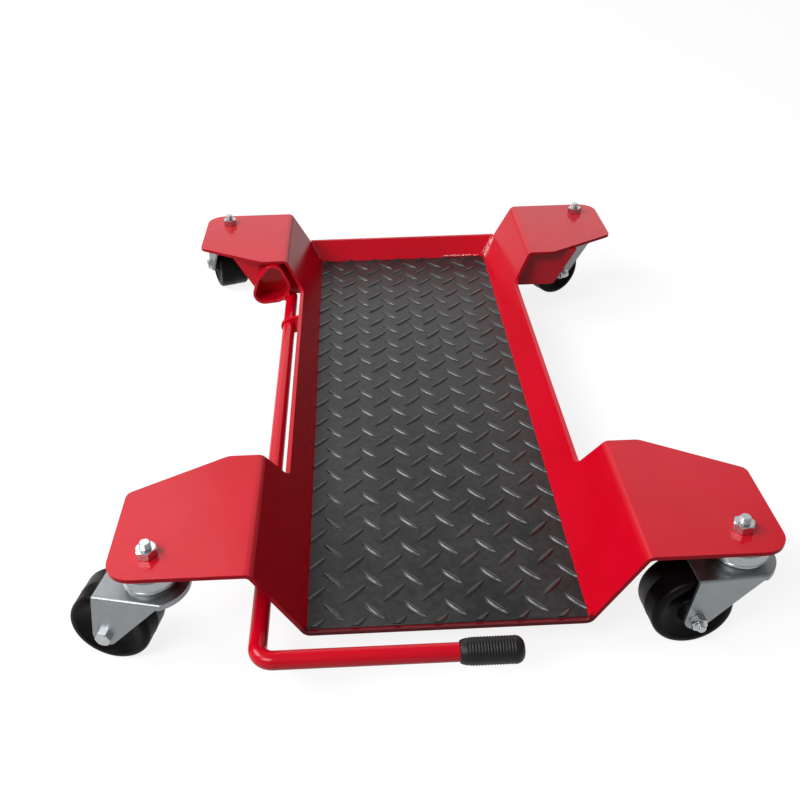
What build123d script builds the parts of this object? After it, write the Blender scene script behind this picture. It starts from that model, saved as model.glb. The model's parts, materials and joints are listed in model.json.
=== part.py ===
from build123d import *
import math
import os

os.makedirs("parts", exist_ok=True)

# Frame: origin at the middle of the deck on top of the mat, +X to the right, +Y to the closed end, +Z up.
# The open end and the lever's grip are towards -Y. Sizes are in millimetres and degrees.

# Tray, one bent steel sheet with a wing at each corner
deck_width = 250.0
tray_length = 771.0
sheet = 4.0
bend_radius = 5.0
wall_angle = 60.5
wall_rise = 34.0
wing_rise = 72.0
wing_span = 576.0
wing_length = 166.0
notch_lean = 13.5
notch_radius = 12.0
wing_shoulder = 28.5
wing_cut_length = 52.0
wing_corner_radius = 24.0
wing_cut_radius = 10.0
wing_shoulder_radius = 15.0
front_lean = 4.0

# Mat, back wall and gussets
plate = 5.0
mat_thickness = 3.0
mat_side_gap = 0.4
mat_front_inset = 3.5
mat_back_gap = 0.5
back_wall_rise = 26.5
back_wall_inset = 13.0
back_wall_angle = 64.6
gusset_width = 66.5
gusset_drop = 52.0
gusset_inset = 15.0
foot_gusset_width = 73.3
foot_gusset_drop = 58.0
foot_gusset_setback = 10.5
gusset_corner_radius = 8.0
bend_relief = 1.0

# Swivel casters
stem_from_side = 33.0
stem_from_end = 30.5
wheel_diameter = 75.0
wheel_width = 42.0
wheel_shoulder = 5.0
rim_flat = 4.0
rim_step = 1.5
dish_diameter = 40.0
web_inset = 5.0
hub_diameter = 22.0
hub_run = 2.5
wheel_edge_radius = 1.0
trail_length = 40.0
crown_gap = 5.0
swivel_height = 26.0
fork_sheet = 3.0
fork_side_gap = 4.7
fork_edge_radius = 2.5
fork_overhang = 4.0
fork_skirt = 5.5
fork_skirt_lean = 3.0
fork_tip_radius = 11.0
crown_diameter = 66.0
flange_diameter = 45.0
flange_height = 3.0
boss_height = 11.0
cup_diameter = 52.0
cup_gap = 2.2
cup_neck_diameter = 43.0
cup_shoulder_height = 7.0
cup_sheet = 2.5
ball_diameter = 6.0
ball_side_gap = 1.0
ball_gap = 2.5
stem_shank = 12.0
stem_thread = 10.0
stem_tip = 6.0
stem_head_diameter = 22.0
stem_head_height = 5.0
race_washer_diameter = 40.0
race_washer_height = 3.7
stem_nut_flats = 17.0
stem_nut_height = 8.0
nut_bevel = 60.0
axle_thread = 8.0
axle_sleeve_diameter = 12.0
axle_head_flats = 13.0
axle_head_height = 5.3
axle_nut_height = 6.8
axle_tip = 5.0

# Brake lever, turning in the front left gusset and in a bearing plate on the left wall
rod_diameter = 16.0
rod_wall_space = 16.9
rod_bend_radius = 14.0
rod_lap = 12.0
arm_reach = 40.7
arm_length = 221.0
foot_diameter = 48.0
foot_angle = 41.5
toe_diameter = 28.8
toe_out = 2.4
toe_rise = 17.5
heel_diameter = 30.0
heel_out = 13.1
heel_drop = 10.3
foot_wall = 4.0
foot_length = 30.0
bearing_space = 70.0
bearing_wall = 2.5
bearing_base = 24.0
bearing_inset = 4.0
rod_web = 8.0
collar_wall = 5.0
collar_length = 9.0
grip_wall = 3.75
grip_length = 54.0
grip_end = 4.0
grip_end_radius = 6.0
grip_plain = 6.0
grip_rib_count = 16
grip_rib_depth = 0.8

# Clearances
running_gap = 0.05
bolt_gap = 0.1
moving_gap = 0.3
side_play = 0.5
stem_hole_gap = 0.5
tip_chamfer = 1.0

# Each caster: corner, side along X, end along Y, way the wheel trails, side of the axle bolt's head
casters = [
    ("front_left", -1, -1, 167.0, 1),
    ("front_right", 1, -1, 184.5, -1),
    ("rear_left", -1, 1, 109.5, 1),
    ("rear_right", 1, 1, 209.0, -1),
]

# Heights and lines that several pieces share
slope = math.radians(wall_angle)
floor_z = -mat_thickness
wing_under = wing_rise - sheet
half_length = tray_length / 2
half_span = wing_span / 2
wing_inner_y = half_length - wing_length
caster_height = wheel_diameter + crown_gap + fork_sheet + swivel_height
ground = wing_under - caster_height
back_low_y = half_length - back_wall_inset
gusset_y = wing_inner_y + gusset_inset
foot_gusset_y = gusset_y + foot_gusset_setback
corner_relief = bend_radius + bend_relief
rod_radius = rod_diameter / 2
foot_radius = foot_diameter / 2
wheel_radius = wheel_diameter / 2


# Inner face of the slanted wall at a height
def wall_x(z):
    return deck_width / 2 + z / math.tan(slope)


# Outer face of the slanted wall at a height
def wall_outer_x(z):
    return wall_x(z) + sheet / math.sin(slope)


# Plane across the tray at a station, with X and Z as its own axes
def section_plane(y):
    return Plane(origin=(0, y, 0), x_dir=(1, 0, 0), z_dir=(0, -1, 0))


def save(builder, name):
    builder.part.label = name
    export_step(builder.part, f"parts/{name}.step")


# Tray
outer_bend = bend_radius + sheet
top_line = [
    (-half_span, wing_rise),
    (-wall_x(wing_rise), wing_rise),
    (-wall_x(floor_z), floor_z),
    (wall_x(floor_z), floor_z),
    (wall_x(wing_rise), wing_rise),
    (half_span, wing_rise),
]
under_line = [
    (half_span, wing_under),
    (wall_outer_x(wing_under), wing_under),
    (wall_outer_x(floor_z - sheet), floor_z - sheet),
    (-wall_outer_x(floor_z - sheet), floor_z - sheet),
    (-wall_outer_x(wing_under), wing_under),
    (-half_span, wing_under),
]
top_radii = [0, outer_bend, bend_radius, bend_radius, outer_bend, 0]
under_radii = [0, bend_radius, outer_bend, outer_bend, bend_radius, 0]
notch_low_y = wing_inner_y - notch_lean
notch_line = [
    (-notch_low_y, wall_rise),
    (notch_low_y, wall_rise),
    (wing_inner_y, wing_under),
    (wing_inner_y, 2 * wing_rise),
    (-wing_inner_y, 2 * wing_rise),
    (-wing_inner_y, wing_under),
]
notch_radii = [notch_radius, notch_radius, 0, 0, 0, 0]
lean_line = [
    (-half_length, wing_under),
    (-half_length + front_lean, floor_z - sheet),
    (-half_length + front_lean, floor_z - 2 * sheet),
    (-half_length - front_lean, floor_z - 2 * sheet),
    (-half_length - front_lean, wing_under),
]
wing_flat_x = wall_x(wing_rise) + outer_bend * math.tan(slope / 2)
wing_cut_x = wing_flat_x + wing_shoulder
wing_cut_y = wing_inner_y + wing_cut_length
right_edge = [
    (half_span, -half_length),
    (half_span, -wing_cut_y),
    (wing_cut_x, -wing_inner_y),
    (wing_flat_x, -wing_inner_y),
    (wing_flat_x, wing_inner_y),
    (wing_cut_x, wing_inner_y),
    (half_span, wing_cut_y),
    (half_span, half_length),
]
left_edge = [(-x, y) for x, y in reversed(right_edge)]
wing_radii = [wing_corner_radius, wing_cut_radius, wing_shoulder_radius, 0]
edge_radii = wing_radii + wing_radii[::-1]
stem_x = half_span - stem_from_side
stem_y = half_length - stem_from_end
with BuildPart() as tray:
    with BuildSketch(section_plane(0)):
        with BuildLine():
            FilletPolyline(top_line + under_line, radius=top_radii + under_radii, close=True)
        make_face()
    extrude(amount=half_length, both=True)
    with BuildSketch(Plane.YZ):
        with BuildLine():
            FilletPolyline(notch_line, radius=notch_radii, close=True)
        make_face()
        with BuildLine():
            Polyline(lean_line, close=True)
        make_face()
    extrude(amount=wing_span, both=True, mode=Mode.SUBTRACT)
    with BuildSketch(Plane.XY.offset(floor_z - 2 * sheet)):
        with BuildLine():
            FilletPolyline(right_edge + left_edge, radius=edge_radii + edge_radii, close=True)
        make_face()
    extrude(amount=2 * wing_rise, mode=Mode.INTERSECT)
    with BuildSketch(Plane.XY.offset(wing_under)):
        with GridLocations(2 * stem_x, 2 * stem_y, 2, 2):
            Circle(stem_thread / 2 + stem_hole_gap)
    extrude(amount=sheet, mode=Mode.SUBTRACT)
save(tray, "tray")

# Back wall, leaning out at the closed end, with its ends cut to the slanted sides
back_lean = math.radians(back_wall_angle)
back_top_y = back_low_y + (back_wall_rise - floor_z) / math.tan(back_lean)
back_depth = sheet / math.sin(back_lean)
back_line = [
    (back_low_y, floor_z),
    (back_top_y, back_wall_rise),
    (back_top_y + back_depth, back_wall_rise),
    (back_low_y + back_depth, floor_z),
]
side_line = [
    (-wall_x(floor_z), floor_z),
    (wall_x(floor_z), floor_z),
    (wall_x(back_wall_rise), back_wall_rise),
    (-wall_x(back_wall_rise), back_wall_rise),
]
with BuildPart() as back_wall:
    with BuildSketch(Plane.YZ):
        with BuildLine():
            Polyline(back_line, close=True)
        make_face()
    extrude(amount=deck_width, both=True)
    with BuildSketch(section_plane(0)):
        with BuildLine():
            FilletPolyline(side_line, radius=[corner_relief, corner_relief, 0, 0], close=True)
        make_face()
    extrude(amount=-tray_length, mode=Mode.INTERSECT)
save(back_wall, "back_wall")

# Rubber mat, narrower underneath where the bends rise from the floor
mat_top_x = deck_width / 2 - mat_side_gap
mat_under_x = wall_x(floor_z) - bend_radius * math.tan(slope / 2) - mat_side_gap
mat_front_y = -half_length + front_lean + mat_front_inset
mat_back_y = back_low_y - mat_back_gap
mat_line = [
    (-mat_under_x, floor_z),
    (mat_under_x, floor_z),
    (mat_top_x, 0),
    (-mat_top_x, 0),
]
with BuildPart() as rubber_mat:
    with BuildSketch(section_plane(mat_front_y)):
        with BuildLine():
            Polyline(mat_line, close=True)
        make_face()
    extrude(amount=mat_front_y - mat_back_y)
save(rubber_mat, "rubber_mat")

# Brake lever's axis: the foot's toe stops under the rear left wing, and the rod lies against the foot
toe_z = wing_under - moving_gap - toe_diameter / 2
foot_z = toe_z - toe_rise
foot_reach = foot_radius + rod_radius + running_gap
rod_z = foot_z - foot_reach * math.sin(math.radians(foot_angle))
rod_x = -(wall_outer_x(rod_z) + rod_wall_space + rod_radius)
foot_x = rod_x - foot_reach * math.cos(math.radians(foot_angle))
foot_rear_y = foot_gusset_y - side_play
foot_front_y = foot_rear_y - foot_length
rod_rear_y = foot_front_y + rod_lap
arm_y = -half_length - arm_reach
grip_tip_x = rod_x + arm_length
grip_start_x = grip_tip_x - grip_length
rod_hole_radius = rod_radius + running_gap


# Upright plate under a wing, between the slanted sheet and the wing
def gusset(name, side, station, width, low_z, rod_hole):
    outline = [
        (side * wall_outer_x(wing_under), wing_under),
        (side * (wall_outer_x(wing_under) + width), wing_under),
        (side * (wall_outer_x(low_z) + width), low_z),
        (side * wall_outer_x(low_z), low_z),
    ]
    with BuildPart() as bracket:
        with BuildSketch(section_plane(station)):
            with BuildLine():
                FilletPolyline(outline, radius=[corner_relief, 0, gusset_corner_radius, 0], close=True)
            make_face()
            if rod_hole:
                with Locations((rod_x, rod_z)):
                    Circle(rod_hole_radius, mode=Mode.SUBTRACT)
        extrude(amount=-math.copysign(plate, station))
    save(bracket, name)


gusset_low_z = wing_under - gusset_drop
gusset("gusset_front_left", -1, -gusset_y, gusset_width, rod_z - rod_radius - rod_web, True)
gusset("gusset_front_right", 1, -gusset_y, gusset_width, gusset_low_z, False)
gusset("gusset_rear_left", -1, foot_gusset_y, foot_gusset_width, wing_under - foot_gusset_drop, False)
gusset("gusset_rear_right", 1, gusset_y, gusset_width, gusset_low_z, False)

# Bearing plate for the rod, standing on the outside of the left wall below the wall's top edge
base_top_z = wall_rise - bearing_inset
base_low_z = base_top_z - bearing_base * math.sin(slope)
bearing_y = foot_front_y - bearing_space - plate
with BuildPart() as lever_bearing:
    with BuildSketch(section_plane(bearing_y)):
        with BuildLine():
            Line((-wall_outer_x(base_top_z), base_top_z), (-wall_outer_x(base_low_z), base_low_z))
            CenterArc((rod_x, rod_z), rod_radius + bearing_wall, 0, 360)
        make_hull()
        with Locations((rod_x, rod_z)):
            Circle(rod_hole_radius, mode=Mode.SUBTRACT)
    extrude(amount=-plate)
save(lever_bearing, "lever_bearing")

# Brake lever rod: one long leg beside the tray and a short arm across its open end
with BuildPart() as lever_rod:
    with BuildLine(Plane.XY.offset(rod_z)):
        FilletPolyline(
            (rod_x, rod_rear_y),
            (rod_x, arm_y),
            (grip_tip_x - grip_end, arm_y),
            radius=rod_bend_radius,
        )
    with BuildSketch(Plane(origin=(rod_x, rod_rear_y, rod_z), x_dir=(1, 0, 0), z_dir=(0, -1, 0))):
        Circle(rod_radius)
    sweep()
save(lever_rod, "lever_rod")

# Rubber grip, a ribbed sleeve with a closed round end
rib_pitch = (grip_length - 2 * grip_plain - grip_end_radius) / grip_rib_count
rib_top = rod_radius + grip_wall
rib_root = rib_top - grip_rib_depth
rib_line = []
for rib in range(grip_rib_count):
    rib_start = grip_plain + rib * rib_pitch
    rib_line.append((rib_start, rib_root))
    rib_line.append((rib_start + rib_pitch / 2, rib_top))
end_inside = grip_length - grip_end + running_gap
grip_line = [
    (0, rod_hole_radius),
    (0, rib_root),
    *rib_line,
    (grip_length - grip_plain - grip_end_radius, rib_root),
    (grip_length, rib_root),
    (grip_length, 0),
    (end_inside, 0),
    (end_inside, rod_hole_radius),
]
grip_radii = [0] * len(grip_line)
grip_radii[grip_line.index((grip_length, rib_root))] = grip_end_radius
grip_plane = Plane(origin=(grip_start_x, arm_y, rod_z), x_dir=(1, 0, 0), z_dir=(0, 0, 1))
with BuildPart() as lever_grip:
    with BuildSketch(grip_plane):
        with BuildLine():
            FilletPolyline(grip_line, radius=grip_radii, close=True)
        make_face()
    revolve(axis=Axis(grip_plane.origin, (1, 0, 0)))
save(lever_grip, "lever_grip")

# Brake foot: flat bar bent to a ring with three round corners, the toe up when the lever is stowed
with BuildPart() as brake_foot:
    for inset, way in ((0, Mode.ADD), (foot_wall, Mode.SUBTRACT)):
        with BuildSketch(section_plane(foot_rear_y)):
            with BuildLine():
                CenterArc((foot_x, foot_z), foot_radius - inset, 0, 360)
                CenterArc((foot_x + toe_out, toe_z), toe_diameter / 2 - inset, 0, 360)
                CenterArc((foot_x - heel_out, foot_z - heel_drop), heel_diameter / 2 - inset, 0, 360)
            make_hull()
        extrude(amount=foot_length, mode=way)
save(brake_foot, "brake_foot")

# Collars on the rod, one on each side of the front gusset
front_gusset_y = -gusset_y - plate
with BuildPart() as lever_collars:
    for collar_y in (front_gusset_y - side_play, front_gusset_y + plate + side_play + collar_length):
        with BuildSketch(section_plane(collar_y)):
            with Locations((rod_x, rod_z)):
                Circle(rod_radius + collar_wall)
                Circle(rod_hole_radius, mode=Mode.SUBTRACT)
        extrude(amount=collar_length)
save(lever_collars, "lever_collars")

# Heights above the ground, and distances from the wheel's middle, inside each caster
crown_under = wheel_diameter + crown_gap
crown_top = crown_under + fork_sheet
flange_top = crown_top + flange_height
boss_top = flange_top + boss_height
cup_under = crown_top + cup_gap
cup_inside = caster_height - cup_sheet
nut_base = caster_height + sheet
stem_end = nut_base + stem_nut_height + stem_tip
race_washer_top = crown_under - moving_gap
stem_head_top = race_washer_top - race_washer_height
fork_inner = wheel_width / 2 + fork_side_gap
fork_outer = fork_inner + fork_sheet
fork_back = trail_length + fork_overhang
crown_radius = crown_diameter / 2
fork_front = math.sqrt(crown_radius**2 - fork_outer**2)
cup_radius = cup_diameter / 2
neck_radius = cup_neck_diameter / 2
ball_circle = cup_radius - cup_sheet - ball_side_gap - ball_diameter / 2
boss_radius = ball_circle - ball_diameter / 2 - ball_side_gap
ball_count = int(2 * math.pi * ball_circle / (ball_diameter + ball_gap))
thread_bore = stem_thread / 2 + running_gap
shank_bore = stem_shank / 2 + running_gap
axle_bore = axle_thread / 2 + bolt_gap
bolt_length = 2 * fork_outer + axle_nut_height + axle_tip

# Stem: rivet head below the fork, plain shank in the fork and thread through the cup and the wing
stem_line = [
    (0, stem_head_top - stem_head_height),
    (stem_head_diameter / 2, stem_head_top - stem_head_height),
    (stem_head_diameter / 2, stem_head_top),
    (stem_shank / 2, stem_head_top),
    (stem_shank / 2, cup_inside),
    (stem_thread / 2, cup_inside),
    (stem_thread / 2, stem_end - tip_chamfer),
    (stem_thread / 2 - tip_chamfer, stem_end),
    (0, stem_end),
]

# Race cup, a pressed dome over the balls
cup_shoulder = caster_height - cup_shoulder_height
cup_line = [
    (thread_bore, caster_height),
    (neck_radius, caster_height),
    (cup_radius, cup_shoulder),
    (cup_radius, cup_under),
    (cup_radius - cup_sheet, cup_under),
    (cup_radius - cup_sheet, cup_shoulder),
    (neck_radius - cup_sheet, cup_inside),
    (thread_bore, cup_inside),
]
cup_radii = [0, cup_sheet, 2 * cup_sheet, 0, 0, cup_sheet, 0, 0]

# Wheel: along the axle, then out from it, with a dish between the hub and the rim on each face
hub_radius = hub_diameter / 2
rim_inner = wheel_radius - wheel_shoulder - rim_flat
web_half = wheel_width / 2 - web_inset
web_low = hub_radius + hub_run
web_high = dish_diameter / 2
web_round = min(wheel_edge_radius, (web_high - web_low) / 4)
wheel_side = [
    (fork_inner - moving_gap, axle_sleeve_diameter / 2 + running_gap),
    (fork_inner - moving_gap, hub_radius),
    (web_half, web_low),
    (web_half, web_high),
    (wheel_width / 2 - rim_step, rim_inner),
    (wheel_width / 2, rim_inner + rim_step),
    (wheel_width / 2, wheel_radius),
]
wheel_line = wheel_side + [(-x, r) for x, r in reversed(wheel_side)]
side_radii = [0, wheel_edge_radius, web_round, web_round, 0, wheel_edge_radius, wheel_shoulder]
wheel_radii = side_radii + side_radii[::-1]

# Fork leg: from the crown down to a round end about the axle
leg_line = [
    (fork_skirt_lean - fork_front, crown_top - fork_skirt),
    (-fork_front, crown_top),
    (fork_back, crown_top),
]


# Hexagon nut that starts on a plane, bored through, with its far corners bevelled
def nut(name, seat, flats, height, bore):
    with BuildPart() as blank:
        with BuildSketch(seat):
            RegularPolygon(radius=flats / 2, side_count=6, major_radius=False)
            Circle(bore, mode=Mode.SUBTRACT)
        extrude(amount=height)
        with BuildSketch(seat.offset(height)):
            Circle(flats / 2)
        extrude(amount=-height, taper=-nut_bevel, mode=Mode.INTERSECT)
    save(blank, name)


# Swivel caster under a wing, with its wheel trailing at the swivel angle
def caster(corner, side, end, swivel, head_side):
    turn = math.radians(swivel)
    base = Plane(
        origin=(side * stem_x, end * stem_y, ground),
        x_dir=(math.cos(turn), math.sin(turn), 0),
        z_dir=(0, 0, 1),
    )
    upright = Axis(base.origin, (0, 0, 1))
    section = Plane(origin=base.origin, x_dir=base.x_dir, z_dir=-base.y_dir)
    axle_point = base.from_local_coords((trail_length, 0, wheel_radius))
    axle = Plane(origin=axle_point, x_dir=base.x_dir, z_dir=base.y_dir * head_side)
    wheel_section = Plane(origin=axle_point, x_dir=base.y_dir, z_dir=base.x_dir)

    with BuildPart() as stem:
        with BuildSketch(section):
            with BuildLine():
                Polyline(stem_line, close=True)
            make_face()
        revolve(axis=upright)
    save(stem, f"stem_{corner}")

    nut(f"stem_nut_{corner}", base.offset(nut_base), stem_nut_flats, stem_nut_height, thread_bore)

    with BuildPart() as race_washer:
        with BuildSketch(base.offset(stem_head_top)):
            Circle(race_washer_diameter / 2)
            Circle(shank_bore, mode=Mode.SUBTRACT)
        extrude(amount=race_washer_height)
    save(race_washer, f"race_washer_{corner}")

    with BuildPart() as race_cup:
        with BuildSketch(section):
            with BuildLine():
                FilletPolyline(cup_line, radius=cup_radii, close=True)
            make_face()
        revolve(axis=upright)
    save(race_cup, f"race_cup_{corner}")

    with BuildPart(base.offset(flange_top + bolt_gap + ball_diameter / 2)) as swivel_balls:
        with PolarLocations(ball_circle, ball_count):
            Sphere(ball_diameter / 2)
    save(swivel_balls, f"swivel_balls_{corner}")

    with BuildPart() as fork:
        with BuildSketch(base.offset(crown_under)):
            Circle(crown_radius)
            with Locations((fork_back / 2, 0)):
                Rectangle(fork_back, crown_diameter)
            Rectangle(2 * fork_back, 2 * fork_outer, mode=Mode.INTERSECT)
        extrude(amount=fork_sheet)
        for leg_start in (fork_inner, -fork_outer):
            with BuildSketch(section.offset(leg_start)):
                with BuildLine():
                    Polyline(leg_line)
                    CenterArc((trail_length, wheel_radius), fork_tip_radius, 0, 360)
                make_hull()
            extrude(amount=fork_sheet)
        with BuildSketch(base.offset(crown_top - fork_skirt)):
            Circle(crown_radius)
            Circle(crown_radius - fork_sheet, mode=Mode.SUBTRACT)
            with Locations((fork_skirt_lean - fork_front - crown_radius, 0)):
                Rectangle(crown_diameter, 2 * fork_outer, mode=Mode.INTERSECT)
        extrude(amount=fork_skirt)
        leg_edges = fork.edges().filter_by(Axis(base.origin, base.x_dir)).group_by(Axis.Z)[-1]
        fillet(leg_edges, fork_edge_radius)
        with BuildSketch(base.offset(crown_top)):
            Circle(flange_diameter / 2)
        extrude(amount=flange_height)
        with BuildSketch(base.offset(flange_top)):
            Circle(boss_radius)
        extrude(amount=boss_height)
        with BuildSketch(base.offset(crown_under)):
            Circle(shank_bore)
        extrude(amount=boss_top - crown_under, mode=Mode.SUBTRACT)
        with BuildSketch(axle.offset(-fork_outer)):
            Circle(axle_bore)
        extrude(amount=2 * fork_outer, mode=Mode.SUBTRACT)
    save(fork, f"fork_{corner}")

    with BuildPart() as wheel:
        with BuildSketch(wheel_section):
            with BuildLine():
                FilletPolyline(wheel_line, radius=wheel_radii, close=True)
            make_face()
        revolve(axis=Axis(axle_point, base.y_dir))
    save(wheel, f"wheel_{corner}")

    with BuildPart() as axle_sleeve:
        with BuildSketch(axle.offset(-fork_inner)):
            Circle(axle_sleeve_diameter / 2)
            Circle(axle_bore, mode=Mode.SUBTRACT)
        extrude(amount=2 * fork_inner)
    save(axle_sleeve, f"axle_sleeve_{corner}")

    with BuildPart() as axle_bolt:
        with BuildSketch(axle.offset(fork_outer)):
            RegularPolygon(radius=axle_head_flats / 2, side_count=6, major_radius=False)
        extrude(amount=axle_head_height)
        with BuildSketch(axle.offset(fork_outer + axle_head_height)):
            Circle(axle_head_flats / 2)
        extrude(amount=-axle_head_height, taper=-nut_bevel, mode=Mode.INTERSECT)
        with BuildSketch(axle.offset(fork_outer)):
            Circle(axle_thread / 2)
        extrude(amount=-bolt_length)
    save(axle_bolt, f"axle_bolt_{corner}")

    nut_seat = Plane(origin=axle.offset(-fork_outer).origin, x_dir=base.x_dir, z_dir=-axle.z_dir)
    nut(f"axle_nut_{corner}", nut_seat, axle_head_flats, axle_nut_height, axle_thread / 2 + running_gap)


for place in casters:
    caster(*place)
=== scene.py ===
import json
import math
import random

import bmesh
import bpy
from mathutils import Matrix, Vector


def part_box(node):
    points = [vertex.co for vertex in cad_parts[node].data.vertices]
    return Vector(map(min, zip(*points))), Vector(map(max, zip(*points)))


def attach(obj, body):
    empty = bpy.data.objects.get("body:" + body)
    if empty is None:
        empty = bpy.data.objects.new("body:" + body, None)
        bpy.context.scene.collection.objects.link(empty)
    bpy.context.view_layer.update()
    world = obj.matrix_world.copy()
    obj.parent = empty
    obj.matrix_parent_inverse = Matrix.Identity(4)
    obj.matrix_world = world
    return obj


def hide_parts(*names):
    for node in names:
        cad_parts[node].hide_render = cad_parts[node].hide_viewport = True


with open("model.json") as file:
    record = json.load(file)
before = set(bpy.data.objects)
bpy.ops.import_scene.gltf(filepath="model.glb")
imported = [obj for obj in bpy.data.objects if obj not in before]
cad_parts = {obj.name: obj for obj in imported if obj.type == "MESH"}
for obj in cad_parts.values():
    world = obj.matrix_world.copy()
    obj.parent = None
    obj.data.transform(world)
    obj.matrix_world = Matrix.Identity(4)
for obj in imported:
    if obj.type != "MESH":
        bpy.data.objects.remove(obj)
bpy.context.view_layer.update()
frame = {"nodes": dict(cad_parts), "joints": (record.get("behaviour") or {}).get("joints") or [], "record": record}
nodes = frame["nodes"]
joints = {joint["name"]: joint for joint in frame["joints"]}
corners = ("front_left", "front_right", "rear_left", "rear_right")
mm = 0.001
# the small ring, in millimetres, that closes a turned end on its axis, and the gap under which points are joined
axisPoint = 0.01
mergeGap = 0.001 * mm
scene = bpy.context.scene
scene.view_settings.view_transform = "Standard"


# sRGB hex to the linear colour that sockets take
def linear(hexColour):
    parts = [int(hexColour[i:i + 2], 16) / 255 for i in (1, 3, 5)]
    return tuple(c / 12.92 if c <= 0.04045 else ((c + 0.055) / 1.055) ** 2.4 for c in parts) + (1.0,)


# one node: plain values are set, sockets are linked
def addNode(tree, kind, sockets=None, **settings):
    node = tree.nodes.new(kind)
    for name, value in settings.items():
        setattr(node, name, value)
    for name, value in (sockets or {}).items():
        if isinstance(value, bpy.types.NodeSocket):
            tree.links.new(value, node.inputs[name])
        else:
            node.inputs[name].default_value = value
    return node


# an empty material, its tree, its shader and its place in the object's own metres
def startMaterial(name):
    material = bpy.data.materials.new(name)
    material.use_nodes = True
    tree = material.node_tree
    tree.nodes.clear()
    shader = addNode(tree, "ShaderNodeBsdfPrincipled")
    addNode(tree, "ShaderNodeOutputMaterial", {"Surface": shader.outputs[0]})
    place = addNode(tree, "ShaderNodeTexCoord").outputs["Object"]
    return material, tree, shader, place


# Camera: where the photograph was taken from, found from the tray's edges
cameraPlace = {
    "location": (-0.06357, -0.95756, 0.61634),
    "pitchDown": 33.435,
    "yaw": 1.729,
    "roll": -1.294,
    "lens": 42.41,
    "sensor": 36.0,
    "shift": (0.01127, 0.00055),
    "nearest": 0.02,
}
cameraData = bpy.data.cameras.new("camera")
cameraData.sensor_width = cameraPlace["sensor"]
cameraData.lens = cameraPlace["lens"]
cameraData.shift_x, cameraData.shift_y = cameraPlace["shift"]
cameraData.clip_start = cameraPlace["nearest"]
camera = bpy.data.objects.new("camera", cameraData)
scene.collection.objects.link(camera)
camera.matrix_world = (
    Matrix.Translation(cameraPlace["location"])
    @ Matrix.Rotation(math.radians(-cameraPlace["yaw"]), 4, "Z")
    @ Matrix.Rotation(math.radians(90 - cameraPlace["pitchDown"]), 4, "X")
    @ Matrix.Rotation(math.radians(cameraPlace["roll"]), 4, "Z")
)
scene.camera = camera

# Studio: a soft light from the left, one high at the front left, a pale wall of light behind and a small one high
# at the back left
studio = {
    "floorSize": 16.0,
    "floorGrey": "#888888",
    "floorGlow": 0.85,
    "floorSheen": 0.58,
    "white": "#ffffff",
    "roomLight": 0.12,
    "roomGlow": 0.88,
    "roomSheen": 0.4,
    "key": {"place": (-2.3, 0.0, 2.1), "size": (1.5, 1.2), "watts": 53},
    "front": {"place": (-1.6, -1.9, 2.45), "size": (1.4, 1.4), "watts": 56},
    "back": {"place": (-0.3, 3.3, 2.0), "size": (4.8, 3.2), "watts": 32},
    "left": {"place": (-1.5, 2.4, 2.9), "size": (1.6, 1.2), "watts": 7},
}
ground = min(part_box("wheel_" + corner)[0].z for corner in corners)
for name in ("key", "front", "back", "left"):
    lampData = bpy.data.lights.new(name + "Softbox", "AREA")
    lampData.shape = "RECTANGLE"
    lampData.size, lampData.size_y = studio[name]["size"]
    lampData.energy = studio[name]["watts"]
    lamp = bpy.data.objects.new(name + "Softbox", lampData)
    lamp.location = studio[name]["place"]
    lamp.rotation_euler = (Vector((0, 0, 0)) - lamp.location).to_track_quat("-Z", "Y").to_euler()
    scene.collection.objects.link(lamp)

world = bpy.data.worlds.new("room")
world.use_nodes = True
world.node_tree.nodes.clear()


# how bright a backdrop shows to the eye, and to a mirror or glass
def seenGlow(tree, eye, mirror):
    rays = addNode(tree, "ShaderNodeLightPath")
    bounced = addNode(tree, "ShaderNodeMath",
                      {0: rays.outputs["Is Glossy Ray"], 1: rays.outputs["Is Transmission Ray"]}, operation="MAXIMUM")
    bounced = addNode(tree, "ShaderNodeMath", {0: bounced.outputs[0], 1: mirror}, operation="MULTIPLY")
    direct = addNode(tree, "ShaderNodeMath", {0: rays.outputs["Is Camera Ray"], 1: eye}, operation="MULTIPLY")
    return addNode(tree, "ShaderNodeMath", {0: direct.outputs[0], 1: bounced.outputs[0]},
                   operation="MAXIMUM").outputs[0]


# the room and the floor show pale to the eye and in reflections, and light the object only as the greys they are
roomGlow = addNode(world.node_tree, "ShaderNodeMath",
                   {0: seenGlow(world.node_tree, studio["roomGlow"], studio["roomSheen"]), 1: studio["roomLight"]},
                   operation="MAXIMUM")
roomShader = addNode(world.node_tree, "ShaderNodeBackground",
                     {"Color": linear(studio["white"]), "Strength": roomGlow.outputs[0]})
addNode(world.node_tree, "ShaderNodeOutputWorld", {"Surface": roomShader.outputs[0]})
scene.world = world
floorMaterial = bpy.data.materials.new("paperFloor")
floorMaterial.use_nodes = True
floorTree = floorMaterial.node_tree
floorTree.nodes.clear()
glow = seenGlow(floorTree, studio["floorGlow"], studio["floorSheen"])
paper = addNode(floorTree, "ShaderNodeBsdfDiffuse", {"Color": linear(studio["floorGrey"])})
shine = addNode(floorTree, "ShaderNodeEmission", {"Color": linear(studio["white"]), "Strength": glow})
both = addNode(floorTree, "ShaderNodeAddShader", {0: paper.outputs[0], 1: shine.outputs[0]})
addNode(floorTree, "ShaderNodeOutputMaterial", {"Surface": both.outputs[0]})
half = studio["floorSize"] / 2
floorMesh = bpy.data.meshes.new("floor")
floorMesh.from_pydata([(-half, -half, ground), (half, -half, ground), (half, half, ground), (-half, half, ground)],
                      [], [(0, 1, 2, 3)])
floorMesh.materials.append(floorMaterial)
floor = bpy.data.objects.new("floor", floorMesh)
scene.collection.objects.link(floor)
print("studio: camera, floor and four soft lights")


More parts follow.
